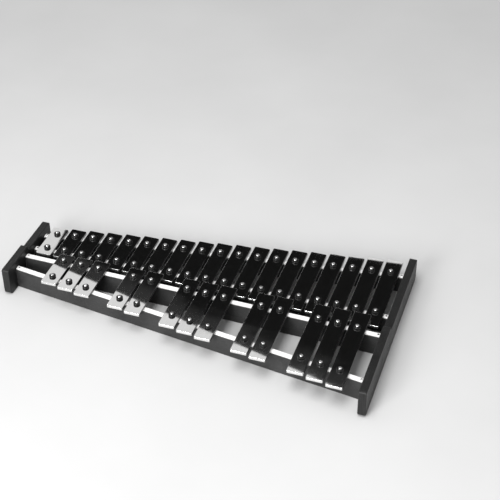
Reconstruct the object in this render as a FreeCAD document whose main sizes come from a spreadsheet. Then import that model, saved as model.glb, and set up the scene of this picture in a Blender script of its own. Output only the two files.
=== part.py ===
"""Kit glockenspiel: thirty-two steel bars on four felt-topped rails between two stepped end boards.

+X runs towards the high notes, +Y towards the raised row of sharps, and +Z is up. The origin is at
the middle of the footprint, on the surface that the frame stands on. All sizes are in millimetres.
"""
import FreeCAD, Part
import math
import os

import Sketcher

os.makedirs("parts", exist_ok=True)
doc = FreeCAD.newDocument("Glockenspiel")

# ---------------------------------------------------------------------------------------------
# Driving dimensions
# ---------------------------------------------------------------------------------------------

# A rail or a row of bars is straight, so each of its places is given at the highest and at the
# lowest natural bar, and runs evenly between the two.
DIMENSIONS = {
    # bars
    "bar_pitch": 29.0,
    "bar_width": 25.0,
    "bar_thickness": 4.0,
    "bar_corner_radius": 2.0,
    "bar_edge_radius": 0.5,
    "bar_hole_diameter": 6.0,
    "bar_rest_gap": 0.05,
    "bar_play": 0.6,
    "sharp_overhang_high": 13.9,
    "sharp_overhang_low": 33.8,
    "natural_overhang_high": 15.7,
    "natural_overhang_low": 30.6,
    # rails: the distance of each centre line from the middle of the frame
    "rail_width": 8.0,
    "sharp_outer_high": 49.2,
    "sharp_outer_low": 118.7,
    "sharp_inner_high": 15.7,
    "sharp_inner_low": 24.7,
    "natural_inner_high": -14.6,
    "natural_inner_low": -25.0,
    "natural_outer_high": -50.4,
    "natural_outer_low": -120.8,
    # felt strips
    "felt_width": 7.6,
    "felt_thickness": 2.2,
    "sharp_felt_top": 35.0,
    "natural_felt_top": 28.0,
    "felt_end_gap": 0.6,
    # end boards
    "board_thickness": 11.6,
    "board_inset": 21.2,
    "board_top_sharp": 46.0,
    "board_top_natural": 39.0,
    "board_corner_bottom": 6.5,
    "board_corner_top": 3.5,
    "board_step_radius": 3.0,
    "board_edge_radius": 1.0,
    "board_high_front": 72.5,
    "board_high_back": -68.0,
    "board_high_step": 6.1,
    "board_low_front": 156.5,
    "board_low_back": -156.5,
    "board_low_step": 15.2,
    # grommets
    "collar_diameter": 10.0,
    "collar_height": 2.6,
    "collar_top_round": 0.9,
    "collar_foot_round": 0.5,
    "sleeve_diameter": 5.2,
    "grommet_bore": 3.1,
    # round-head screws that hold the bars
    "screw_head_diameter": 5.4,
    "screw_head_side": 0.5,
    "screw_head_height": 2.2,
    "screw_head_undercut": 0.3,
    "screw_shank_diameter": 3.0,
    "screw_length": 23.0,
    "screw_point_length": 3.0,
    "recess_span": 3.0,
    "recess_width": 0.7,
    "recess_depth": 1.3,
    # countersunk screws that hold the rails to the end boards
    "frame_head_diameter": 6.4,
    "frame_shank_diameter": 3.0,
    "frame_screw_length": 25.0,
    "frame_screw_sink": 0.2,
    "frame_hole_low": 8.0,
    "frame_hole_spacing": 11.0,
    # tacks at the ends of the felt strips
    "tack_head_diameter": 3.2,
    "tack_head_height": 0.8,
    "tack_shank_diameter": 1.2,
    "tack_length": 6.0,
    "tack_inset": 4.5,
    # pilot holes are this much wider than the shank in them
    "pilot_clearance": 0.1,
}
LAST_STEP = 18
HIGHEST_OCTAVE = 8
LETTERS_DOWNWARDS = "CBAGFED"
LETTERS_WITH_A_SHARP = "CDFGA"
TURN_BETWEEN_HEADS = 137.5

sheet = doc.addObject("Spreadsheet::Sheet", "Dims")
for row, (alias, number) in enumerate(DIMENSIONS.items(), start=1):
    sheet.set(f"A{row}", alias.replace("_", " "))
    sheet.set(f"B{row}", str(number))
    sheet.setAlias(f"B{row}", alias)
doc.recompute()


def dim(alias):
    """The value of one driving dimension, read back from the sheet."""
    return float(getattr(sheet, alias))


def along(name, step):
    """Expression for a straight line's place at a bar step, from 0 at the highest natural bar."""
    high = f"Dims.{name}_high"
    low = f"Dims.{name}_low"
    return f"({high} + ({low} - {high}) * ({step}) / {LAST_STEP})"


def place_along(name, step):
    """The same place as a number."""
    high = dim(name + "_high")
    low = dim(name + "_low")
    return high + (low - high) * step / LAST_STEP


def station(step):
    """X of a bar step, as an expression."""
    return f"(({LAST_STEP / 2} - ({step})) * Dims.bar_pitch)"


def station_x(step):
    """X of a bar step, as a number."""
    return (LAST_STEP / 2 - step) * dim("bar_pitch")


# the steps at which the rails meet the inner faces of the end boards
HIGH_END = "-Dims.board_inset / Dims.bar_pitch"
LOW_END = f"{LAST_STEP} + Dims.board_inset / Dims.bar_pitch"
INNER_FACE = f"({LAST_STEP / 2} * Dims.bar_pitch + Dims.board_inset)"
inner_face_x = LAST_STEP / 2 * dim("bar_pitch") + dim("board_inset")


# ---------------------------------------------------------------------------------------------
# Helpers for bodies, sketches and features
# ---------------------------------------------------------------------------------------------

nodes = []


def new_body(label, kept=True):
    body = doc.addObject("PartDesign::Body", label)
    body.Label = label
    if kept:
        nodes.append(body)
    return body


def new_sketch(body, role, name):
    """A sketch on one of the body's own origin planes."""
    sketch = body.newObject("Sketcher::SketchObject", f"{body.Name}_{name}")
    plane = next(item for item in body.Origin.OriginFeatures if item.Role == role)
    sketch.AttachmentSupport = [(plane, "")]
    sketch.MapMode = "FlatFace"
    return sketch


def number(sketch, expression):
    result = sketch.evalExpression(expression)
    return float(getattr(result, "Value", result))


def pin_point(sketch, geometry, point, corner, name):
    """Hold one point of the sketch at a pair of expressions."""
    for axis, expression in zip("XY", corner):
        value = number(sketch, expression)
        sketch.addConstraint(Sketcher.Constraint("Distance" + axis, -1, 1, geometry, point, value))
        index = sketch.ConstraintCount - 1
        sketch.renameConstraint(index, f"{name}_{axis.lower()}")
        sketch.setExpression(f"Constraints.{name}_{axis.lower()}", expression)


def draw_outline(sketch, corners):
    """A closed outline of straight edges through the corners."""
    points = [FreeCAD.Vector(number(sketch, x), number(sketch, y), 0) for x, y in corners]
    count = len(points)
    for index in range(count):
        sketch.addGeometry(Part.LineSegment(points[index], points[(index + 1) % count]), False)
    for index in range(count):
        following = (index + 1) % count
        sketch.addConstraint(Sketcher.Constraint("Coincident", index, 2, following, 1))
    for index, corner in enumerate(corners):
        pin_point(sketch, index, 1, corner, f"corner_{index}")


def draw_circle(sketch, centre, diameter):
    """A circle whose centre and diameter are expressions."""
    centre_point = FreeCAD.Vector(number(sketch, centre[0]), number(sketch, centre[1]), 0)
    radius = number(sketch, diameter) / 2
    index = sketch.addGeometry(Part.Circle(centre_point, FreeCAD.Vector(0, 0, 1), radius), False)
    pin_point(sketch, index, 3, centre, f"centre_{index}")
    sketch.addConstraint(Sketcher.Constraint("Diameter", index, 2 * radius))
    sketch.renameConstraint(sketch.ConstraintCount - 1, f"diameter_{index}")
    sketch.setExpression(f"Constraints.diameter_{index}", diameter)


def pad(body, sketch, height):
    feature = body.newObject("PartDesign::Pad", f"{body.Name}_pad")
    feature.Profile = sketch
    feature.setExpression("Length", height)
    sketch.Visibility = False
    return feature


def pocket(body, sketch, name, depth=None, reverse=False):
    """Cut the sketch out of the body, right through where no depth is given."""
    doc.recompute()
    before = body.Shape.Volume
    feature = body.newObject("PartDesign::Pocket", f"{body.Name}_{name}")
    feature.Profile = sketch
    feature.Reversed = reverse
    if depth is None:
        feature.Type = "ThroughAll"
    else:
        feature.setExpression("Length", depth)
    doc.recompute()
    if not body.Shape.Volume < before:
        raise RuntimeError(f"{feature.Name} cuts nothing")
    return feature


def edge_names(feature, test):
    return [f"Edge{index}" for index, edge in enumerate(feature.Shape.Edges, start=1) if test(edge)]


def soften(body, kind, edges, size, name):
    """A fillet or a chamfer on the named edges of the body's last feature."""
    base = body.Tip
    feature = body.newObject("PartDesign::" + kind, f"{body.Name}_{name}")
    feature.Base = (base, edges)
    feature.setExpression("Radius" if kind == "Fillet" else "Size", size)
    doc.recompute()
    return feature


def runs_along(edge, axis):
    """True for a straight edge that runs along the axis."""
    if not isinstance(edge.Curve, Part.Line):
        return False
    return abs(abs(edge.tangentAt(edge.FirstParameter).dot(axis)) - 1) < 1e-6


X_AXIS = FreeCAD.Vector(1, 0, 0)
Z_AXIS = FreeCAD.Vector(0, 0, 1)


# ---------------------------------------------------------------------------------------------
# The notes
# ---------------------------------------------------------------------------------------------

def list_notes():
    """Naturals and sharps as (name, step), from the highest note down."""
    naturals = []
    sharps = []
    octave = HIGHEST_OCTAVE
    for step in range(LAST_STEP + 1):
        letter = LETTERS_DOWNWARDS[step % len(LETTERS_DOWNWARDS)]
        if step and letter == "B":
            octave -= 1
        naturals.append((f"bar_{letter.lower()}{octave}", step))
        if step and letter in LETTERS_WITH_A_SHARP:
            sharps.append((f"bar_{letter.lower()}_sharp_{octave}", step - 0.5))
    return naturals, sharps


natural_notes, sharp_notes = list_notes()

# each row: outer rail, inner rail, overhang of its bars, its felt's top, its notes
ROWS = {
    "sharp": ("sharp_outer", "sharp_inner", "sharp_overhang", "sharp_felt_top", sharp_notes),
    "natural": ("natural_outer", "natural_inner", "natural_overhang", "natural_felt_top",
                natural_notes),
}
RAILS = {}
for row_name, (outer, inner, _, felt_top, notes) in ROWS.items():
    for rail in (outer, inner):
        RAILS[rail] = (felt_top, [step for _, step in notes])


# ---------------------------------------------------------------------------------------------
# Bars
# ---------------------------------------------------------------------------------------------

def make_bar(label, step, outer, inner, overhang, felt_top):
    """A flat bar with rounded corners, softened top edges and a hole over each of its rails."""
    body = new_body(label)
    spacing = f"abs({along(outer, step)} - {along(inner, step)})"
    length = f"({spacing} + 2 * {along(overhang, step)})"

    plan = new_sketch(body, "XY_Plane", "plan")
    half_width = "Dims.bar_width / 2"
    draw_outline(plan, [
        (f"-{half_width}", f"-{length} / 2"),
        (half_width, f"-{length} / 2"),
        (half_width, f"{length} / 2"),
        (f"-{half_width}", f"{length} / 2"),
    ])
    blank = pad(body, plan, "Dims.bar_thickness")
    doc.recompute()
    upright = edge_names(blank, lambda edge: runs_along(edge, Z_AXIS))
    rounded = soften(body, "Fillet", upright, "Dims.bar_corner_radius", "corners")

    top = dim("bar_thickness")
    rim = edge_names(rounded, lambda edge: edge.BoundBox.ZMin > top - 1e-6)
    soften(body, "Fillet", rim, "Dims.bar_edge_radius", "top_edges")

    holes = new_sketch(body, "XY_Plane", "hole_plan")
    for side in ("-", ""):
        draw_circle(holes, ("0", f"{side}{spacing} / 2"), "Dims.bar_hole_diameter")
    pocket(body, holes, "holes", reverse=True)

    body.setExpression("Placement.Base.x", station(step))
    body.setExpression("Placement.Base.y", f"({along(outer, step)} + {along(inner, step)}) / 2")
    body.setExpression("Placement.Base.z", f"Dims.{felt_top} + Dims.bar_rest_gap")


for outer, inner, overhang, felt_top, notes in ROWS.values():
    for label, step in notes:
        make_bar(label, step, outer, inner, overhang, felt_top)


# ---------------------------------------------------------------------------------------------
# Rails and felt strips
# ---------------------------------------------------------------------------------------------

TACK_STEPS = (
    "(-(Dims.board_inset - Dims.tack_inset) / Dims.bar_pitch)",
    f"({LAST_STEP} + (Dims.board_inset - Dims.tack_inset) / Dims.bar_pitch)",
)


def draw_strip(sketch, line, width, short_by):
    """A straight strip between the end boards, with its ends cut parallel to them."""
    corners = []
    for x_sign, end_step in (("", HIGH_END), ("-", LOW_END)):
        middle = along(line, end_step)
        sides = ("-", "+") if x_sign == "" else ("+", "-")
        for side in sides:
            x_place = f"{x_sign}({INNER_FACE} - {short_by})"
            corners.append((x_place, f"{middle} {side} {width} / 2"))
    draw_outline(sketch, corners)


def draw_row_of_holes(sketch, line, steps, screw_hole, tack_hole):
    for step in steps:
        draw_circle(sketch, (station(step), along(line, step)), screw_hole)
    for step in TACK_STEPS:
        draw_circle(sketch, (station(step), along(line, step)), tack_hole)


SCREW_PILOT = "Dims.screw_shank_diameter + Dims.pilot_clearance"
TACK_PILOT = "Dims.tack_shank_diameter + Dims.pilot_clearance"
FRAME_PILOT = "Dims.frame_shank_diameter + Dims.pilot_clearance"
# where each frame screw runs inside the slanting rail: half its length past the inner face
SCREW_IN_RAIL = "((Dims.frame_screw_length - Dims.board_thickness) / 2)"


def frame_screw_step(end):
    """The step at which a frame screw crosses its rail's centre line."""
    depth = f"({SCREW_IN_RAIL} - Dims.board_inset) / Dims.bar_pitch"
    return f"({depth})" if end == "high" else f"({LAST_STEP} - ({depth}))"


def frame_hole_centres(line, end):
    """Centres of a rail's two end screws, as pairs of expressions in Y and Z."""
    place = along(line, frame_screw_step(end))
    return [
        (place, "Dims.frame_hole_low"),
        (place, "Dims.frame_hole_low + Dims.frame_hole_spacing"),
    ]


def make_rail(line, felt_top, steps):
    """A board on edge, with pilot holes for the bar screws, the tacks and the frame screws."""
    body = new_body(f"rail_{line}")
    height = f"Dims.{felt_top} - Dims.felt_thickness"
    plan = new_sketch(body, "XY_Plane", "plan")
    draw_strip(plan, line, "Dims.rail_width", "0")
    pad(body, plan, height)

    pilots = new_sketch(body, "XY_Plane", "pilot_plan")
    pilots.setExpression("AttachmentOffset.Base.z", height)
    draw_row_of_holes(pilots, line, steps, SCREW_PILOT, TACK_PILOT)
    pocket(body, pilots, "pilots", depth="Dims.screw_length")

    for end, sign in (("high", ""), ("low", "-")):
        end_holes = new_sketch(body, "YZ_Plane", f"{end}_end_plan")
        end_holes.setExpression("AttachmentOffset.Base.z", f"{sign}{INNER_FACE}")
        for centre in frame_hole_centres(line, end):
            draw_circle(end_holes, centre, FRAME_PILOT)
        pocket(body, end_holes, f"{end}_end_pilots", reverse=(end == "low"),
               depth="Dims.frame_screw_length - Dims.board_thickness + 1")


def make_felt(line, felt_top, steps):
    """A flat felt strip on top of a rail, pierced for the screws and tacks."""
    body = new_body(f"felt_{line}")
    plan = new_sketch(body, "XY_Plane", "plan")
    draw_strip(plan, line, "Dims.felt_width", "Dims.felt_end_gap")
    pad(body, plan, "Dims.felt_thickness")
    holes = new_sketch(body, "XY_Plane", "hole_plan")
    draw_row_of_holes(holes, line, steps, SCREW_PILOT, TACK_PILOT)
    pocket(body, holes, "holes", reverse=True)
    body.setExpression("Placement.Base.z", f"Dims.{felt_top} - Dims.felt_thickness")


for line, (felt_top, steps) in RAILS.items():
    make_rail(line, felt_top, steps)
    make_felt(line, felt_top, steps)


# ---------------------------------------------------------------------------------------------
# End boards
# ---------------------------------------------------------------------------------------------

def make_end_board(end):
    """A plank on edge whose top steps down from the row of sharps to the row of naturals."""
    body = new_body(f"end_board_{end}")
    front = f"Dims.board_{end}_front"
    back = f"Dims.board_{end}_back"
    step_place = f"Dims.board_{end}_step"
    profile = new_sketch(body, "YZ_Plane", "profile")
    draw_outline(profile, [
        (back, "0"),
        (front, "0"),
        (front, "Dims.board_top_sharp"),
        (step_place, "Dims.board_top_sharp"),
        (step_place, "Dims.board_top_natural"),
        (back, "Dims.board_top_natural"),
    ])
    plank = pad(body, profile, "Dims.board_thickness")
    doc.recompute()

    step_y = dim(f"board_{end}_step")
    bottom = edge_names(plank, lambda edge: runs_along(edge, X_AXIS) and edge.BoundBox.ZMax < 1)
    soften(body, "Fillet", bottom, "Dims.board_corner_bottom", "bottom_corners")

    def is_step(edge):
        return abs(edge.BoundBox.YMax - step_y) < 1e-3

    on_top = edge_names(body.Tip, lambda edge: runs_along(edge, X_AXIS)
                        and edge.BoundBox.ZMin > dim("board_top_natural") - 1 and not is_step(edge))
    soften(body, "Fillet", on_top, "Dims.board_corner_top", "top_corners")
    steps = edge_names(body.Tip, lambda edge: runs_along(edge, X_AXIS) and is_step(edge))
    soften(body, "Fillet", steps, "Dims.board_step_radius", "step")

    thickness = dim("board_thickness")
    rims = edge_names(body.Tip, lambda edge: edge.BoundBox.XLength < 1e-6)
    soften(body, "Fillet", rims, "Dims.board_edge_radius", "edges")

    holes = new_sketch(body, "YZ_Plane", "hole_plan")
    for line in RAILS:
        for centre in frame_hole_centres(line, end):
            draw_circle(holes, centre, FRAME_PILOT)
    pocket(body, holes, "holes", reverse=True)

    # the countersinks are on the outer face
    outer_x = thickness if end == "high" else 0.0
    mouths = edge_names(body.Tip, lambda edge: isinstance(edge.Curve, Part.Circle)
                        and abs(edge.BoundBox.XMin - outer_x) < 1e-3
                        and abs(edge.BoundBox.XMax - outer_x) < 1e-3
                        and edge.Curve.Radius < dim("frame_head_diameter") / 2)
    soften(body, "Chamfer", mouths,
           "(Dims.frame_head_diameter - Dims.frame_shank_diameter) / 2 + Dims.frame_screw_sink",
           "countersinks")
    offset = INNER_FACE if end == "high" else f"-{INNER_FACE} - Dims.board_thickness"
    body.setExpression("Placement.Base.x", offset)


for end in ("high", "low"):
    make_end_board(end)


# ---------------------------------------------------------------------------------------------
# Turned fasteners: each is drawn once, upright, with its head's underside or seat at Z = 0
# ---------------------------------------------------------------------------------------------

def turn_profile(body, corners):
    """Revolve a half profile, given as (radius, height) expressions, about the Z axis."""
    profile = new_sketch(body, "XZ_Plane", "half_profile")
    draw_outline(profile, corners)
    feature = body.newObject("PartDesign::Revolution", f"{body.Name}_turned")
    feature.Profile = profile
    feature.ReferenceAxis = (profile, ["V_Axis"])
    feature.Angle = 360
    doc.recompute()
    return feature


def round_rim(body, height, radius, size, name):
    """Round the circular edge at a height and radius."""
    edges = edge_names(body.Tip, lambda edge: isinstance(edge.Curve, Part.Circle)
                       and abs(edge.BoundBox.ZMax - height) < 1e-4
                       and abs(edge.BoundBox.ZMin - height) < 1e-4
                       and abs(edge.Curve.Radius - radius) < 1e-4)
    soften(body, "Fillet", edges, size, name)


def cut_cross_recess(body, top):
    """A driver's cross recess in the top of a head."""
    recess = new_sketch(body, "XY_Plane", "recess_plan")
    recess.setExpression("AttachmentOffset.Base.z", top)
    span = "Dims.recess_span / 2"
    slot = "Dims.recess_width / 2"
    quarter = [(span, slot), (slot, slot), (slot, span)]
    corners = []
    for x_sign, y_sign, order in (("", "", 1), ("-", "", -1), ("-", "-", 1), ("", "-", -1)):
        corners += [(f"{x_sign}{x}", f"{y_sign}{y}") for x, y in quarter[::order]]
    draw_outline(recess, corners)
    pocket(body, recess, "recess", depth="Dims.recess_depth")


def make_grommet():
    """A rubber grommet: a thick collar over the bar and a sleeve down through the bar's hole."""
    body = new_body("grommet_pattern", kept=False)
    sleeve_length = "(Dims.bar_rest_gap * 2 + Dims.bar_thickness + Dims.bar_play)"
    turn_profile(body, [
        ("Dims.grommet_bore / 2", f"-{sleeve_length}"),
        ("Dims.sleeve_diameter / 2", f"-{sleeve_length}"),
        ("Dims.sleeve_diameter / 2", "0"),
        ("Dims.collar_diameter / 2", "0"),
        ("Dims.collar_diameter / 2", "Dims.collar_height"),
        ("Dims.grommet_bore / 2", "Dims.collar_height"),
    ])
    rim = dim("collar_diameter") / 2
    round_rim(body, dim("collar_height"), rim, "Dims.collar_top_round", "top_rim")
    round_rim(body, 0.0, rim, "Dims.collar_foot_round", "foot_rim")
    return body


def make_bar_screw():
    """A round-head wood screw; the underside of its head is at Z = 0."""
    body = new_body("bar_screw_pattern", kept=False)
    point_start = "-Dims.screw_length + Dims.screw_point_length"
    turn_profile(body, [
        ("0", "-Dims.screw_length"),
        ("Dims.screw_shank_diameter / 2", point_start),
        ("Dims.screw_shank_diameter / 2", "0"),
        ("Dims.screw_head_diameter / 2 - Dims.screw_head_undercut", "0"),
        ("Dims.screw_head_diameter / 2", "Dims.screw_head_undercut"),
        ("Dims.screw_head_diameter / 2", "Dims.screw_head_height"),
        ("0", "Dims.screw_head_height"),
    ])
    round_rim(body, dim("screw_head_height"), dim("screw_head_diameter") / 2,
              "Dims.screw_head_height - Dims.screw_head_side", "dome")
    cut_cross_recess(body, "Dims.screw_head_height")
    return body


def make_frame_screw():
    """A countersunk wood screw; the top of its flat head is at Z = 0."""
    body = new_body("frame_screw_pattern", kept=False)
    head_depth = "(Dims.frame_head_diameter - Dims.frame_shank_diameter) / 2"
    point_start = "-Dims.frame_screw_length + Dims.screw_point_length"
    turn_profile(body, [
        ("0", "-Dims.frame_screw_length"),
        ("Dims.frame_shank_diameter / 2", point_start),
        ("Dims.frame_shank_diameter / 2", f"-{head_depth}"),
        ("Dims.frame_head_diameter / 2", "0"),
        ("0", "0"),
    ])
    cut_cross_recess(body, "0")
    return body


def make_tack():
    """A small domed tack; the underside of its head is at Z = 0."""
    body = new_body("tack_pattern", kept=False)
    turn_profile(body, [
        ("0", "-Dims.tack_length"),
        ("Dims.tack_shank_diameter / 2", "-Dims.tack_length + Dims.tack_shank_diameter"),
        ("Dims.tack_shank_diameter / 2", "0"),
        ("Dims.tack_head_diameter / 2", "0"),
        ("Dims.tack_head_diameter / 2", "Dims.tack_head_height"),
        ("0", "Dims.tack_head_height"),
    ])
    round_rim(body, dim("tack_head_height"), dim("tack_head_diameter") / 2,
              "Dims.tack_head_height * 0.8", "dome")
    return body


def place_group(label, pattern, places):
    """Set copies of one fastener at the given placements, as a group of separate solids."""
    copies = []
    for place in places:
        copy = pattern.Shape.copy()
        copy.Placement = place
        copies.append(copy)
    group = doc.addObject("Part::Feature", label)
    group.Shape = Part.makeCompound(copies)
    group.Placement = FreeCAD.Placement()
    group.Label = label
    nodes.append(group)


def upright_places(line, steps, height):
    """Placements along a rail's centre line, each head turned differently."""
    places = []
    for count, step in enumerate(steps):
        point = FreeCAD.Vector(station_x(step), place_along(line, step), height)
        turn = FreeCAD.Rotation(Z_AXIS, TURN_BETWEEN_HEADS * count)
        places.append(FreeCAD.Placement(point, turn))
    return places


grommet = make_grommet()
bar_screw = make_bar_screw()
frame_screw = make_frame_screw()
tack = make_tack()
doc.recompute()

collar_above_felt = 2 * dim("bar_rest_gap") + dim("bar_thickness") + dim("bar_play")
tack_places = []
for line, (felt_top, steps) in RAILS.items():
    collar_seat = dim(felt_top) + collar_above_felt
    place_group(f"grommets_{line}", grommet, upright_places(line, steps, collar_seat))
    screw_seat = collar_seat + dim("collar_height")
    place_group(f"screws_{line}", bar_screw, upright_places(line, steps, screw_seat))
    end_offset = (dim("board_inset") - dim("tack_inset")) / dim("bar_pitch")
    tack_places += upright_places(line, (-end_offset, LAST_STEP + end_offset), dim(felt_top))
place_group("felt_tacks", tack, tack_places)

for end, sign in (("high", 1), ("low", -1)):
    head_x = sign * (inner_face_x + dim("board_thickness") - dim("frame_screw_sink"))
    half_depth = (dim("frame_screw_length") - dim("board_thickness")) / 2
    crossing = (half_depth - dim("board_inset")) / dim("bar_pitch")
    if end == "low":
        crossing = LAST_STEP - crossing
    places = []
    for line in RAILS:
        for count in range(2):
            height = dim("frame_hole_low") + count * dim("frame_hole_spacing")
            point = FreeCAD.Vector(head_x, place_along(line, crossing), height)
            lie_down = FreeCAD.Rotation(FreeCAD.Vector(0, 1, 0), sign * 90)
            turn = FreeCAD.Rotation(Z_AXIS, TURN_BETWEEN_HEADS * len(places))
            places.append(FreeCAD.Placement(point, lie_down.multiply(turn)))
    place_group(f"frame_screws_{end}", frame_screw, places)


# ---------------------------------------------------------------------------------------------
# Check everything, then write one file for each sub-part
# ---------------------------------------------------------------------------------------------

doc.recompute()
for item in doc.Objects:
    if "Invalid" in item.State or "Error" in item.State:
        raise RuntimeError(f"{item.Label} failed: {item.State}")
for node in nodes:
    if node.Shape.isNull() or not node.Shape.isValid() or not node.Shape.Solids:
        raise RuntimeError(f"{node.Label} has no valid solid")

whole = FreeCAD.BoundBox()
for node in nodes:
    node.Shape.exportStep(f"parts/{node.Label}.step")
    whole.add(node.Shape.BoundBox)
print(f"{len(nodes)} nodes, {whole.XLength:.1f} x {whole.YLength:.1f} x {whole.ZLength:.1f} mm")
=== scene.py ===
"""Materials for the CAD parts, softer felt strips, and a small studio: floor, light and camera.
"""
import math

import bpy
from mathutils import Matrix, Vector, noise


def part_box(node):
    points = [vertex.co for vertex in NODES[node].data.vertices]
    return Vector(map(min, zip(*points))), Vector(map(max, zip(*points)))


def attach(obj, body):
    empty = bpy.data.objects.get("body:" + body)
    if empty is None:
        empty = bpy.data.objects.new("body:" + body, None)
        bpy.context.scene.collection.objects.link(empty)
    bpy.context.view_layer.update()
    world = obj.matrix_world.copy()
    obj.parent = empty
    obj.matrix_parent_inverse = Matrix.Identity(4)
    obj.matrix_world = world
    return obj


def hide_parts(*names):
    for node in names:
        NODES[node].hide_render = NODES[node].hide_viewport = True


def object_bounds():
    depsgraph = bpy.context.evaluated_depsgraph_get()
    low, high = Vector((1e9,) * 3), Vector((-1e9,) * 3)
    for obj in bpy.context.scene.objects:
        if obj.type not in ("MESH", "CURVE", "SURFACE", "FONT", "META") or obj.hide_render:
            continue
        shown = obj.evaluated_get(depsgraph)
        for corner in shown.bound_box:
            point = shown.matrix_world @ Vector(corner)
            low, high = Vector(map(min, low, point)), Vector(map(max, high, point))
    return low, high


MM = 0.001

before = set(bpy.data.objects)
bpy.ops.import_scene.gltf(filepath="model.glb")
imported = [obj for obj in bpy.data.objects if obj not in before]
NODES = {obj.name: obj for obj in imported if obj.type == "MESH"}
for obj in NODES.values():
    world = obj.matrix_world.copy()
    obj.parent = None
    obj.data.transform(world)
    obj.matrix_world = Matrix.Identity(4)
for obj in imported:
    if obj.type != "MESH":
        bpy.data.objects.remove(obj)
cad_low, cad_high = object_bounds()
scene = bpy.context.scene

STATIC_BODY = "frame"
RAIL_LINES = ("sharp_outer", "sharp_inner", "natural_inner", "natural_outer")
BAR_NODES = [name for name in NODES if name.startswith("bar_")]
BAR_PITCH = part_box("bar_c8")[0].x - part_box("bar_b7")[0].x


# ---------------------------------------------------------------------------------------------
# Camera: the photograph's viewing angle and perspective
# ---------------------------------------------------------------------------------------------

CAMERA_PLACE = Vector((-0.5284, 1.3153, 1.2074))
VIEW_DIRECTION = Vector((0.25543, -0.74523, -0.61595)).normalized()
CAMERA_ROLL = math.radians(-0.52)
FOCAL_LENGTH = 88.6
SENSOR_WIDTH = 36.0
NEAREST_SEEN = 0.05
FARTHEST_SEEN = 50.0


def make_camera():
    data = bpy.data.cameras.new("camera")
    data.lens = FOCAL_LENGTH
    data.sensor_width = SENSOR_WIDTH
    data.clip_start = NEAREST_SEEN
    data.clip_end = FARTHEST_SEEN
    camera = bpy.data.objects.new("camera", data)
    scene.collection.objects.link(camera)
    aim = VIEW_DIRECTION.to_track_quat("-Z", "Y").to_matrix().to_4x4()
    roll = Matrix.Rotation(CAMERA_ROLL, 4, "Z")
    camera.matrix_world = Matrix.Translation(CAMERA_PLACE) @ aim @ roll
    scene.camera = camera


make_camera()


# ---------------------------------------------------------------------------------------------
# Node helpers
# ---------------------------------------------------------------------------------------------

class Shader:
    """A material's node tree, with short calls for the nodes that the materials here share."""

    def __init__(self, name, **sockets):
        self.material = bpy.data.materials.new(name)
        self.material.use_nodes = True
        self.tree = self.material.node_tree
        self.surface = self.tree.nodes["Principled BSDF"]
        for socket, value in sockets.items():
            self.surface.inputs[socket.replace("_", " ")].default_value = value
        self.place = self.add("ShaderNodeTexCoord").outputs["Object"]

    def add(self, kind, **settings):
        node = self.tree.nodes.new(kind)
        for setting, value in settings.items():
            setattr(node, setting, value)
        return node

    def feed(self, target, value):
        """Link a socket to an input, or set the input to a plain value."""
        if isinstance(value, bpy.types.NodeSocket):
            self.tree.links.new(value, target)
        else:
            target.default_value = value

    def drive(self, socket, value):
        self.feed(self.surface.inputs[socket], value)

    def stretched(self, *scale):
        """Object coordinates, in metres, multiplied by a scale for each axis."""
        mapping = self.add("ShaderNodeMapping")
        self.feed(mapping.inputs["Vector"], self.place)
        mapping.inputs["Scale"].default_value = scale
        return mapping.outputs["Vector"]

    def noise(self, vector, scale, detail=4.0, roughness=0.55, distortion=0.0):
        node = self.add("ShaderNodeTexNoise")
        self.feed(node.inputs["Vector"], vector)
        node.inputs["Scale"].default_value = scale
        node.inputs["Detail"].default_value = detail
        node.inputs["Roughness"].default_value = roughness
        node.inputs["Distortion"].default_value = distortion
        return node.outputs["Fac"]

    def math(self, operation, first, second=0.0, clamp=False):
        node = self.add("ShaderNodeMath", operation=operation, use_clamp=clamp)
        self.feed(node.inputs[0], first)
        self.feed(node.inputs[1], second)
        return node.outputs[0]

    def spread(self, value, low, high, to_low=0.0, to_high=1.0):
        """The value's range from low to high, mapped to another range and clamped."""
        node = self.add("ShaderNodeMapRange", clamp=True)
        self.feed(node.inputs["Value"], value)
        for socket, edge in zip(("From Min", "From Max", "To Min", "To Max"),
                                (low, high, to_low, to_high)):
            self.feed(node.inputs[socket], edge)
        return node.outputs["Result"]

    def blend(self, factor, first, second):
        """One colour where the factor is 0 and another where it is 1."""
        node = self.add("ShaderNodeMix", data_type="RGBA", clamp_factor=True)
        self.feed(node.inputs["Factor"], factor)
        self.feed(node.inputs["A"], first)
        self.feed(node.inputs["B"], second)
        return next(out for out in node.outputs if out.type == "RGBA")

    def bump(self, height, distance, base=None):
        """The surface's normal, or the base normal, tilted by a height."""
        node = self.add("ShaderNodeBump")
        node.inputs["Strength"].default_value = 1.0
        node.inputs["Distance"].default_value = distance
        self.feed(node.inputs["Height"], height)
        if base is not None:
            self.feed(node.inputs["Normal"], base)
        return node.outputs["Normal"]

    def part(self, vector, axis):
        """One component of a vector."""
        split = self.add("ShaderNodeSeparateXYZ")
        self.feed(split.inputs[0], vector)
        return split.outputs[axis]

    def facing(self, axis):
        """One component of the surface's own normal."""
        return self.part(self.add("ShaderNodeNewGeometry").outputs["Normal"], axis)

    def edge_nearness(self, radius, low, high):
        """How near a point is to a sharp outer edge, from 0 on flat faces to 1 on the edge."""
        bevel = self.add("ShaderNodeBevel", samples=4)
        bevel.inputs["Radius"].default_value = radius
        dot = self.add("ShaderNodeVectorMath", operation="DOT_PRODUCT")
        self.feed(dot.inputs[0], bevel.outputs["Normal"])
        self.feed(dot.inputs[1], self.add("ShaderNodeNewGeometry").outputs["Normal"])
        away = self.math("SUBTRACT", 1.0, dot.outputs["Value"])
        return self.spread(away, low, high)


def grey(level, warmth=0.0):
    return (level * (1 + warmth), level, level * (1 - warmth), 1.0)


# ---------------------------------------------------------------------------------------------
# Bars: polished plate on steel
# ---------------------------------------------------------------------------------------------

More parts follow.
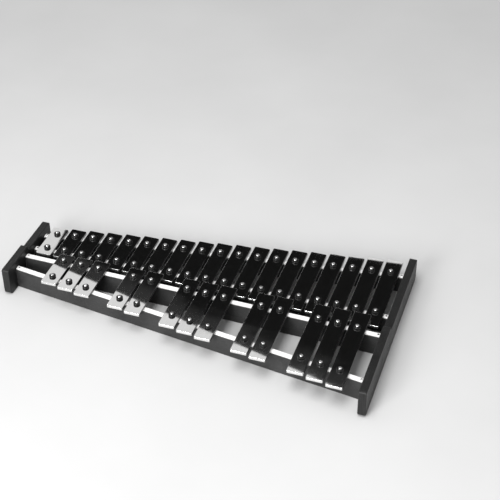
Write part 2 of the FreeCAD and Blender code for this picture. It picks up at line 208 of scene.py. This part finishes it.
DULLEST_BAR = 0.86
BRIGHTEST_BAR = 0.92
BAR_TINT = (("Red", 1.0), ("Green", 0.997), ("Blue", 0.99))

# how much tone each mark takes away; the long sides' share is painted shade, not a mark
SMUDGE_LOSS = 0.05
SPECK_LOSS = 0.10
HAIRLINE_LOSS = 0.05
UNDERSIDE_LOSS = (0.10, 0.34)
# painted shade: the long side faces are darkened in colour
LONG_SIDE_PAINTED_SHADE = 0.68

POLISHED_ROUGHNESS = (0.02, 0.05)
SAWN_ROUGHNESS = (0.24, 0.42)
SMUDGE_ROUGHNESS = 0.02

HAIRLINE_DEPTH = 0.0004 * MM
WAVE_DEPTH = 0.012 * MM
SAW_LINE_DEPTH = 0.02 * MM

# how far a normal leans towards an axis, from where a face begins to where it is fully that face
FACE_LEAN = (0.35, 0.8)
UNDERSIDE_LEAN = (-0.35, -0.8)


def polished_bar(name, row_offset):
    """Bright faces with hairlines and smudges, sawn ends, painted shade on the long sides, a ground
    underside.
    """
    shader = Shader(name, Metallic=1.0)
    own_number = shader.math("FLOOR", shader.math(
        "DIVIDE", shader.math("ADD", shader.part(shader.place, "X"), row_offset), BAR_PITCH))
    own_tone = shader.add("ShaderNodeTexWhiteNoise", noise_dimensions="1D")
    shader.feed(own_tone.inputs["W"], own_number)

    hairlines = shader.noise(shader.stretched(3200, 45, 600), 1.0, detail=5.0, roughness=0.65)
    clouds = shader.noise(shader.place, 42.0, detail=3.0)
    smudges = shader.noise(shader.place, 26.0, detail=7.0, roughness=0.66, distortion=0.5)
    marks = shader.spread(smudges, 0.50, 0.70)
    specks = shader.spread(shader.noise(shader.place, 700.0, detail=2.0), 0.68, 0.78)
    saw_lines = shader.noise(shader.stretched(260, 260, 5200), 1.0, detail=4.0)
    grinding = shader.noise(shader.stretched(900, 5200, 900), 1.0, detail=5.0)
    top_face = shader.spread(shader.facing("Z"), *FACE_LEAN)
    under_face = shader.spread(shader.facing("Z"), *UNDERSIDE_LEAN)
    shaded_long_side = shader.spread(shader.math("ABSOLUTE", shader.facing("X")), *FACE_LEAN)

    losses = (
        shader.math("MULTIPLY", marks, SMUDGE_LOSS),
        shader.math("MULTIPLY", specks, SPECK_LOSS),
        shader.spread(hairlines, 0.40, 0.75, 0.0, HAIRLINE_LOSS),
        shader.math("MULTIPLY", under_face, shader.spread(grinding, 0.35, 0.65, *UNDERSIDE_LOSS)),
        # painted shade: the long side faces lose most of their tone
        shader.math("MULTIPLY", shaded_long_side, LONG_SIDE_PAINTED_SHADE),
    )
    tone = shader.spread(own_tone.outputs["Value"], 0.0, 1.0, DULLEST_BAR, BRIGHTEST_BAR)
    for loss in losses:
        tone = shader.math("SUBTRACT", tone, loss)
    colour = shader.add("ShaderNodeCombineColor")
    for channel, tint in BAR_TINT:
        shader.feed(colour.inputs[channel], shader.math("MULTIPLY", tone, tint))
    shader.drive("Base Color", colour.outputs["Color"])

    polished = shader.spread(hairlines, 0.35, 0.75, *POLISHED_ROUGHNESS)
    polished = shader.math("ADD", polished, shader.math("MULTIPLY", marks, SMUDGE_ROUGHNESS))
    sawn = shader.spread(saw_lines, 0.3, 0.7, *SAWN_ROUGHNESS)
    rough = shader.add("ShaderNodeMix", data_type="FLOAT", clamp_factor=True)
    shader.feed(rough.inputs["Factor"], top_face)
    shader.feed(rough.inputs["A"], sawn)
    shader.feed(rough.inputs["B"], polished)
    shader.drive("Roughness", rough.outputs["Result"])

    fine = shader.bump(hairlines, HAIRLINE_DEPTH)
    waves = shader.bump(clouds, WAVE_DEPTH, base=fine)
    rough_lines = shader.math("MULTIPLY", saw_lines, shader.math("SUBTRACT", 1.0, top_face))
    shader.drive("Normal", shader.bump(rough_lines, SAW_LINE_DEPTH, base=waves))
    return shader.material


# ---------------------------------------------------------------------------------------------
# End boards and rails: dark paint over wood
# ---------------------------------------------------------------------------------------------

# tones of the paint's marks, as multiples of the paint's own level
CLOUD_TONES = (0.7, 1.3)
PORE_TONE = 0.35
SPATTER_TONE = 2.6
FLECK_TONE = 3.4
# the streaks' lighter tone is partly end grain and partly a painted highlight
STREAK_HIGHLIGHT_TONE = 3.2
WORN_TONE = 5.0
WORN_WARMTH = 0.06

WEAR_RADIUS = 2.0 * MM
PORE_SHARE = 0.6
WORN_SHARE = 0.6
ROUGHNESS_SPREAD = 0.06
PORE_ROUGHNESS = 0.14
SPATTER_DEPTH = 0.05 * MM


def painted_wood(name, level, grain_scale, grain_depth, roughness, speckle, gloss, end_grain_highlight=0.0):
    """Dark paint: grain that shows through, fine spatter, rubbed edges, and lighter streaks on sawn
    ends that are partly end grain and partly a painted highlight.
    """
    shader = Shader(name, Specular_IOR_Level=gloss)
    grain = shader.noise(shader.stretched(*grain_scale), 1.0, detail=7.0, roughness=0.62,
                         distortion=0.25)
    spatter = shader.noise(shader.place, 900.0, detail=3.0, roughness=0.7)
    flecks = shader.noise(shader.place, 380.0, detail=2.0)
    clouds = shader.noise(shader.place, 28.0, detail=4.0)
    streaks = shader.noise(shader.stretched(760, 760, 30), 1.0, detail=4.0)
    pores = shader.spread(grain, 0.56, 0.70)
    on_ends = shader.spread(shader.math("ABSOLUTE", shader.facing("Y")), 0.6, 0.9, 0.0, end_grain_highlight)
    worn = shader.math("MULTIPLY", shader.edge_nearness(WEAR_RADIUS, 0.004, 0.12),
                       shader.spread(shader.noise(shader.place, 200.0, detail=6.0), 0.48, 0.62),
                       clamp=True)

    dark_cloud, light_cloud = (grey(level * tone) for tone in CLOUD_TONES)
    marks = (
        (shader.math("MULTIPLY", pores, PORE_SHARE), grey(level * PORE_TONE)),
        (shader.spread(spatter, 0.5, 0.75, 0.0, speckle), grey(level * SPATTER_TONE)),
        (shader.spread(flecks, 0.58, 0.70, 0.0, speckle), grey(level * FLECK_TONE)),
        # lighter streaks on faces that face along y: end grain, painted lighter as a painted
        # highlight where the ends catch the light
        (shader.math("MULTIPLY", on_ends, shader.spread(streaks, 0.36, 0.62)),
         grey(level * STREAK_HIGHLIGHT_TONE)),
        (shader.math("MULTIPLY", worn, WORN_SHARE), grey(level * WORN_TONE, WORN_WARMTH)),
    )
    tone = shader.blend(shader.spread(clouds, 0.3, 0.7), dark_cloud, light_cloud)
    for share, mark_tone in marks:
        tone = shader.blend(share, tone, mark_tone)
    shader.drive("Base Color", tone)

    rough = shader.spread(clouds, 0.3, 0.7, roughness - ROUGHNESS_SPREAD,
                          roughness + ROUGHNESS_SPREAD)
    rough = shader.math("ADD", rough, shader.math("MULTIPLY", pores, PORE_ROUGHNESS))
    shader.drive("Roughness", rough)
    relief = shader.bump(grain, grain_depth)
    shader.drive("Normal", shader.bump(spatter, SPATTER_DEPTH, base=relief))
    return shader.material


# ---------------------------------------------------------------------------------------------
# Felt, rubber and small hardware
# ---------------------------------------------------------------------------------------------

CLUMP_DEPTH = 0.6 * MM
FIBRE_DEPTH = 0.45 * MM
RUBBER_SKIN_DEPTH = 0.01 * MM
RUBBER_ROUGHNESS = (0.13, 0.30)
STEEL_PIT_DEPTH = 0.01 * MM
STAIN_SHARE = 0.35
STAIN_TONE = 0.6
TURNING_SPREAD = 0.3


def pressed_felt(name):
    """White pressed felt: matted fibres with painted shade greying their hollows, soft sheen."""
    shader = Shader(name, Roughness=0.95, Sheen_Weight=0.3, Sheen_Roughness=0.6,
                    Specular_IOR_Level=0.15)
    fibres = shader.noise(shader.stretched(900, 1700, 1700), 1.0, detail=8.0, roughness=0.75,
                          distortion=1.6)
    clumps = shader.noise(shader.place, 420.0, detail=5.0, roughness=0.6, distortion=0.8)
    dust = shader.noise(shader.place, 60.0, detail=4.0)
    # painted shade: the felt's colour goes grey where the fibre relief is low
    tone = shader.blend(shader.spread(fibres, 0.3, 0.62), grey(0.46, 0.01), grey(0.76, 0.006))
    tone = shader.blend(shader.spread(clumps, 0.55, 0.8, 0.0, 0.25), tone, grey(0.70, 0.02))
    tone = shader.blend(shader.spread(dust, 0.5, 0.75, 0.0, 0.10), tone, grey(0.5, 0.03))
    shader.drive("Base Color", tone)
    relief = shader.bump(clumps, CLUMP_DEPTH)
    shader.drive("Normal", shader.bump(fibres, FIBRE_DEPTH, base=relief))
    return shader.material


def moulded_rubber(name):
    """Black rubber with a slight shine, bloomed and dusty in places."""
    shader = Shader(name, Specular_IOR_Level=0.28)
    bloom = shader.noise(shader.place, 520.0, detail=4.0)
    skin = shader.noise(shader.place, 4200.0, detail=2.0)
    shader.drive("Base Color", shader.blend(shader.spread(bloom, 0.45, 0.75), grey(0.003),
                                            grey(0.012)))
    shader.drive("Roughness", shader.spread(bloom, 0.3, 0.7, *RUBBER_ROUGHNESS))
    shader.drive("Normal", shader.bump(skin, RUBBER_SKIN_DEPTH))
    return shader.material


def plated_steel(name, level, roughness):
    """Bright or blackened small hardware with fine turning marks and a few stains."""
    shader = Shader(name, Metallic=1.0)
    turning = shader.noise(shader.stretched(600, 600, 5200), 1.0, detail=3.0)
    stains = shader.noise(shader.place, 340.0, detail=5.0)
    pits = shader.noise(shader.place, 2200.0, detail=2.0)
    shader.drive("Base Color", shader.blend(shader.spread(stains, 0.5, 0.8, 0.0, STAIN_SHARE),
                                            grey(level), grey(level * STAIN_TONE, 0.04)))
    shader.drive("Roughness", shader.spread(turning, 0.3, 0.7, roughness * (1 - TURNING_SPREAD),
                                            roughness * (1 + TURNING_SPREAD)))
    shader.drive("Normal", shader.bump(pits, STEEL_PIT_DEPTH))
    return shader.material


# ---------------------------------------------------------------------------------------------
# Which node gets which material
# ---------------------------------------------------------------------------------------------

# a natural bar's middle is on a whole pitch from the frame's middle, and a sharp's is between two
BAR_NATURAL = polished_bar("polished_bar_natural", row_offset=BAR_PITCH / 2)
BAR_SHARP = polished_bar("polished_bar_sharp", row_offset=0.0)
BOARD = painted_wood("painted_end_board", level=0.0075, grain_scale=(420, 38, 420),
                     grain_depth=0.2 * MM, roughness=0.46, speckle=0.6, gloss=0.28, end_grain_highlight=0.6)
RAIL = painted_wood("painted_rail", level=0.027, grain_scale=(30, 420, 420),
                    grain_depth=0.12 * MM, roughness=0.42, speckle=0.25, gloss=0.30)
FELT = pressed_felt("white_felt")
RUBBER = moulded_rubber("grommet_rubber")
SCREW = plated_steel("bright_screw", level=0.72, roughness=0.20)
TACK = plated_steel("tack_steel", level=0.6, roughness=0.25)
FRAME_SCREW = plated_steel("black_screw", level=0.12, roughness=0.35)

# the first entry that a node's name starts with counts, so felt_tacks comes before felt
FINISHES = (("end_board", BOARD), ("rail", RAIL), ("felt_tacks", TACK), ("felt", FELT),
            ("grommets", RUBBER), ("screws", SCREW), ("frame_screws", FRAME_SCREW))


def material_for(node_name):
    if node_name.startswith("bar_"):
        return BAR_SHARP if "sharp" in node_name else BAR_NATURAL
    return next(material for start, material in FINISHES if node_name.startswith(start))


def cover(node_name, material):
    """Give every material slot of a CAD node one material."""
    mesh = NODES[node_name].data
    if not mesh.materials:
        mesh.materials.append(material)
    for index in range(len(mesh.materials)):
        mesh.materials[index] = material


for node_name in NODES:
    cover(node_name, material_for(node_name))


# ---------------------------------------------------------------------------------------------
# Felt strips: soft edges, pressed flat under each bar and round each tack, swelling in between
# ---------------------------------------------------------------------------------------------

FELT_STEP = 0.7 * MM
FELT_ACROSS = 26
FELT_CLEARANCE = 0.03 * MM
FELT_SWELL = 0.30 * MM
FELT_FOOT = 0.3 * MM
SWELL_REACH = 1.8 * MM
TACK_REACH = 2.8 * MM
TACK_SEARCH = 10 * MM
END_TOLERANCE = 0.03 * MM
REST_TOLERANCE = 1.0 * MM
END_ROUND = 1.1 * MM
END_DROP = 0.35
FIBRE_RELIEF = 0.09 * MM
FIBRE_GRAIN = 1.1 * MM
FIBRE_DIMENSION = 0.9
FIBRE_LACUNARITY = 2.1
FIBRE_OCTAVES = 4


def strip_ends(node_name):
    """The two ends of a straight strip in x order, each as (x, lowest y, highest y)."""
    points = [vertex.co for vertex in NODES[node_name].data.vertices]
    low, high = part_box(node_name)
    ends = []
    for end_x in (low.x, high.x):
        sides = [point.y for point in points if abs(point.x - end_x) < END_TOLERANCE]
        ends.append((end_x, min(sides), max(sides)))
    return ends


def bars_over(node_name):
    """The x ranges in which bars rest on a felt strip."""
    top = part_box(node_name)[1].z
    (x_a, low_a, high_a), (x_b, low_b, high_b) = strip_ends(node_name)
    ranges = []
    for bar in BAR_NODES:
        low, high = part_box(bar)
        share = ((low.x + high.x) / 2 - x_a) / (x_b - x_a)
        middle = (low_a + high_a + (low_b + high_b - low_a - high_a) * share) / 2
        if low.y < middle < high.y and abs(low.z - top) < REST_TOLERANCE:
            ranges.append((low.x, high.x))
    return ranges


def tack_places(ends):
    """The middle of the tack near each end of a strip."""
    points = [vertex.co for vertex in NODES["felt_tacks"].data.vertices]
    places = []
    for end_x, low_y, high_y in ends:
        near = [point for point in points
                if abs(point.x - end_x) < TACK_SEARCH and low_y < point.y < high_y]
        places.append(sum(near, Vector()) / len(near))
    return places


def felt_profile(share):
    """Height across a strip, from 0 at either edge to 1 over most of the width."""
    return (1 - abs(share) ** 6) ** 0.25


def felt_swell(x, y, ranges, tacks):
    """How far the felt rises above its level under the bars."""
    gap = min(max(start - x, x - end, 0.0) for start, end in ranges)
    near = min(math.hypot(x - tack.x, y - tack.y) for tack in tacks)
    free = (1 - math.exp(-gap / SWELL_REACH)) * (1 - math.exp(-(near / TACK_REACH) ** 2))
    return FELT_SWELL * free


def felt_points(node_name, steps):
    """A strip's points: at each step along it, one row from edge to edge over its top."""
    ends = strip_ends(node_name)
    tacks = tack_places(ends)
    ranges = bars_over(node_name)
    low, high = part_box(node_name)
    thickness = high.z - low.z
    shares = [-math.cos(math.pi * index / FELT_ACROSS) for index in range(FELT_ACROSS + 1)]
    points = []
    for step in range(steps + 1):
        along = step / steps
        x = low.x + (high.x - low.x) * along
        left = ends[0][1] + (ends[1][1] - ends[0][1]) * along
        right = ends[0][2] + (ends[1][2] - ends[0][2]) * along
        from_end = min(x - low.x, high.x - x) / END_ROUND
        end_drop = END_DROP * max(0.0, 1 - from_end) ** 2
        for share in shares:
            y = (left + right) / 2 + (right - left) / 2 * share
            height = (thickness - FELT_CLEARANCE) * (felt_profile(share) - end_drop)
            point = Vector((x, y, low.z + max(0.0, height)))
            relief = noise.fractal(point / FIBRE_GRAIN, FIBRE_DIMENSION, FIBRE_LACUNARITY,
                                   FIBRE_OCTAVES)
            free = felt_swell(x, y, ranges, tacks)
            lift = free * felt_profile(share) + FIBRE_RELIEF * relief * min(1.0, free / FELT_SWELL)
            if height > FELT_FOOT:
                point.z = min(point.z + lift, high.z - FELT_CLEARANCE + free)
            point.y += FIBRE_RELIEF * relief * share
            points.append(tuple(point))
    return points


def closed_strip_faces(steps, row):
    """Faces that join each row of points to the next, close the underside and cap both ends."""
    faces = []
    for step in range(steps):
        for index in range(row):
            here = step * row + index
            beside = step * row + (index + 1) % row
            faces.append((here, here + row, beside + row, beside))
    faces.append(tuple(range(row)))
    faces.append(tuple(steps * row + index for index in reversed(range(row))))
    return faces


def make_felt(line):
    node_name = f"felt_{line}"
    low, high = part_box(node_name)
    steps = round((high.x - low.x) / FELT_STEP)
    mesh = bpy.data.meshes.new(f"strip_{line}")
    mesh.from_pydata(felt_points(node_name, steps), [], closed_strip_faces(steps, FELT_ACROSS + 1))
    mesh.materials.append(FELT)
    mesh.shade_smooth()
    piece = bpy.data.objects.new(f"felt_strip_{line}", mesh)
    scene.collection.objects.link(piece)
    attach(piece, STATIC_BODY)
    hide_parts(node_name)


for line in RAIL_LINES:
    make_felt(line)


# ---------------------------------------------------------------------------------------------
# Floor, light and the dark card that the polished bars mirror
# ---------------------------------------------------------------------------------------------

FLOOR_REACH = 20.0
FLOOR_GAP = 0.5 * MM
FLOOR_TONES = (grey(0.44), grey(0.47))

# the card stands upright along x, and its top slants up from its high-note end to its low-note end
CARD_Y = -0.35
CARD_HIGH_EDGE = 0.470
CARD_HIGH_FOOT = 0.397
CARD_LOW_EDGE = -0.70
CARD_TOP_AT_HIGH = 0.376
CARD_TOP_AT_LOW = 0.697
CARD_FOOT_AT_HIGH = 0.24
CARD_FOOT_AT_LOW = 0.165
CARD_FOLDS = 0.02
CARD_BAND = (0.02, 0.07)
CARD_BAND_TONE = grey(0.016)
CARD_TONE = grey(0.004)

# steps from the horizon up to the zenith, each with the light's level there
WORLD_LEVELS = ((0.0, 0.60), (0.6, 0.74), (1.0, 0.92))


def make_stage_piece(name, corners, material):
    """A flat four-cornered piece of the studio."""
    mesh = bpy.data.meshes.new(name)
    mesh.from_pydata(corners, [], [(0, 1, 2, 3)])
    mesh.materials.append(material)
    piece = bpy.data.objects.new(name, mesh)
    scene.collection.objects.link(piece)
    return piece


def make_floor():
    shader = Shader("pale_floor", Roughness=0.85, Specular_IOR_Level=0.2)
    clouds = shader.spread(shader.noise(shader.place, 3.0), 0.3, 0.7)
    shader.drive("Base Color", shader.blend(clouds, *FLOOR_TONES))
    level = cad_low.z - FLOOR_GAP
    corners = [(x * FLOOR_REACH, y * FLOOR_REACH, level)
               for x, y in ((-1, -1), (1, -1), (1, 1), (-1, 1))]
    make_stage_piece("floor", corners, shader.material)


def make_dark_card():
    """A dark card behind the naturals that only mirror-like surfaces see, lighter along its top."""
    shader = Shader("dark_card", Roughness=1.0, Specular_IOR_Level=0.0)
    slope = (CARD_TOP_AT_LOW - CARD_TOP_AT_HIGH) / (CARD_HIGH_EDGE - CARD_LOW_EDGE)
    level_with_top = shader.math(
        "ADD", shader.part(shader.place, "Z"),
        shader.math("MULTIPLY", shader.part(shader.place, "X"), slope))
    below_top = shader.math("SUBTRACT", CARD_TOP_AT_HIGH + slope * CARD_HIGH_EDGE, level_with_top)
    folds = shader.noise(shader.stretched(9.0, 1.0, 30.0), 1.0, detail=4.0, distortion=0.6)
    depth = shader.math("ADD", below_top,
                        shader.spread(folds, 0.3, 0.7, -CARD_FOLDS, CARD_FOLDS))
    shader.drive("Base Color", shader.blend(shader.spread(depth, *CARD_BAND), CARD_BAND_TONE,
                                            CARD_TONE))
    card = make_stage_piece("dark_card", [
        (CARD_HIGH_FOOT, CARD_Y, CARD_FOOT_AT_HIGH), (CARD_HIGH_EDGE, CARD_Y, CARD_TOP_AT_HIGH),
        (CARD_LOW_EDGE, CARD_Y, CARD_TOP_AT_LOW), (CARD_LOW_EDGE, CARD_Y, CARD_FOOT_AT_LOW),
    ], shader.material)
    card.visible_camera = False
    card.visible_diffuse = False
    card.visible_shadow = False
    card.visible_transmission = False


def make_light(name, place, size, power, mirrored):
    """A soft light aimed at the object's middle, which polished faces mirror or don't."""
    data = bpy.data.lights.new(name, "AREA")
    data.shape = "RECTANGLE"
    data.size, data.size_y = size
    data.energy = power
    light = bpy.data.objects.new(name, data)
    light.rotation_mode = "QUATERNION"
    light.location = place
    light.rotation_quaternion = Vector(place).to_track_quat("Z", "Y")
    light.visible_glossy = mirrored
    scene.collection.objects.link(light)


def make_world():
    """Even studio light that brightens upwards."""
    world = bpy.data.worlds.new("studio")
    world.use_nodes = True
    tree = world.node_tree
    direction = tree.nodes.new("ShaderNodeTexCoord")
    height = tree.nodes.new("ShaderNodeSeparateXYZ")
    ramp = tree.nodes.new("ShaderNodeValToRGB")
    stops = ramp.color_ramp.elements
    (low, low_level), (middle, middle_level), (high, high_level) = WORLD_LEVELS
    stops[0].position = low
    stops[0].color = grey(low_level)
    stops[1].position = high
    stops[1].color = grey(high_level)
    stops.new(middle).color = grey(middle_level)
    tree.links.new(direction.outputs["Generated"], height.inputs[0])
    tree.links.new(height.outputs["Z"], ramp.inputs["Fac"])
    tree.links.new(ramp.outputs["Color"], tree.nodes["Background"].inputs["Color"])
    scene.world = world


make_floor()
make_dark_card()
make_world()
make_light("key", place=(0.5, 2.1, 1.05), size=(0.9, 0.9), power=62.0, mirrored=True)
make_light("top", place=(0.0, 0.5, 1.8), size=(0.7, 1.2), power=26.0, mirrored=False)
scene.view_settings.view_transform = "Standard"
